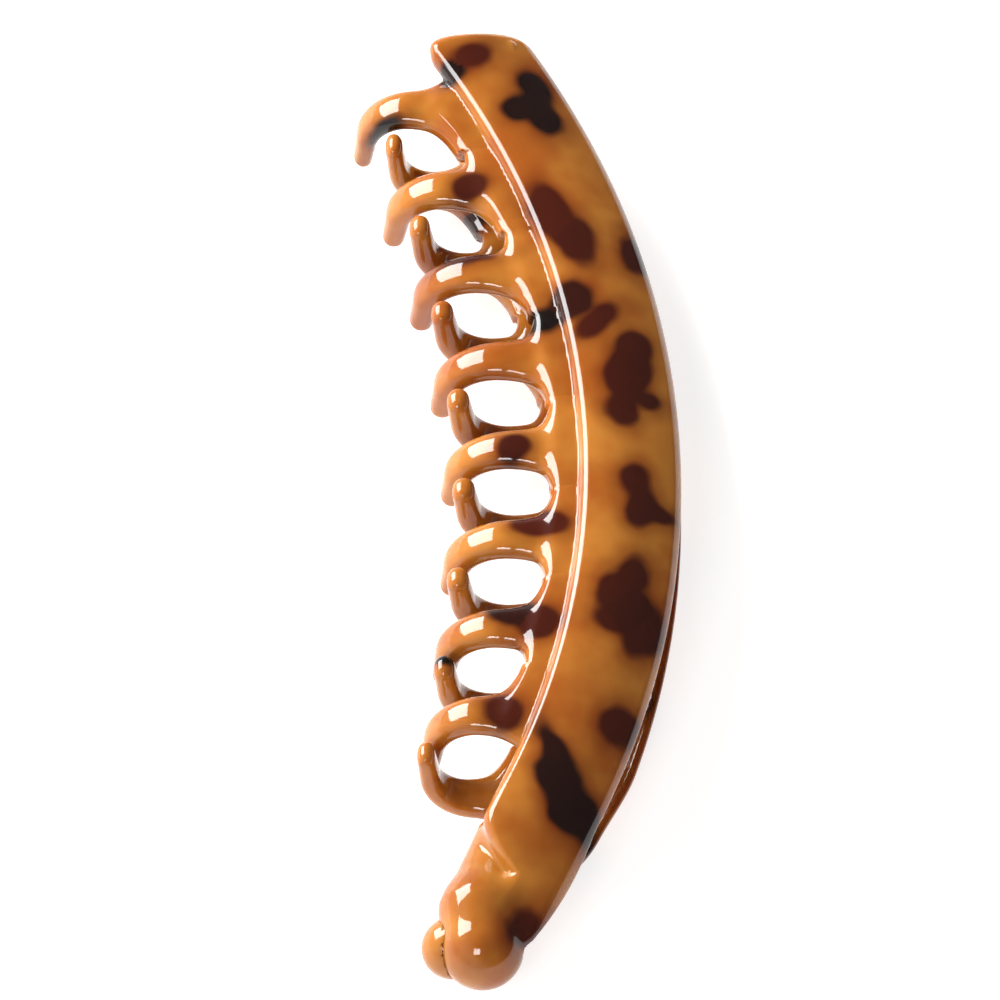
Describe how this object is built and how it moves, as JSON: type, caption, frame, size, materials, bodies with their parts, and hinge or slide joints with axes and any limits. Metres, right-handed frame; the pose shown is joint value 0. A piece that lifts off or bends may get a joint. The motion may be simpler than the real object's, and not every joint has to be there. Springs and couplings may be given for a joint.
{
  "type": "claw clip",
  "caption": "Banana-type hair claw clip: two curved shells with interleaving claws, hinged at the round end and snapped shut at the blunt end.",
  "frame": {"origin": "centre of the closed clip's box, at the bottom: the crest of the rear shell, on which it lies", "axes": "+Y along the clip towards the blunt clasp end, +X towards the curved spine, +Z through the thickness from the rear half to the front half"},
  "size_m": [0.0376, 0.1284, 0.0158],
  "materials": {
    "front_shell": "polished translucent tortoiseshell acetate",
    "rear_shell": "polished translucent tortoiseshell acetate",
    "pin_steel": "drawn steel wire"
  },
  "bodies": {
    "rear": {"rear_half": "rear_shell", "hinge_pin": "pin_steel"},
    "front": {"front_half": "front_shell"}
  },
  "joints": [
    {"name": "jaw_hinge", "type": "hinge", "parent": "rear", "child": "front", "pos_m": [-0.00428, -0.0594, 0.0079], "axis": [1, 0, 0], "range_deg": [0, 70]}
  ]
}
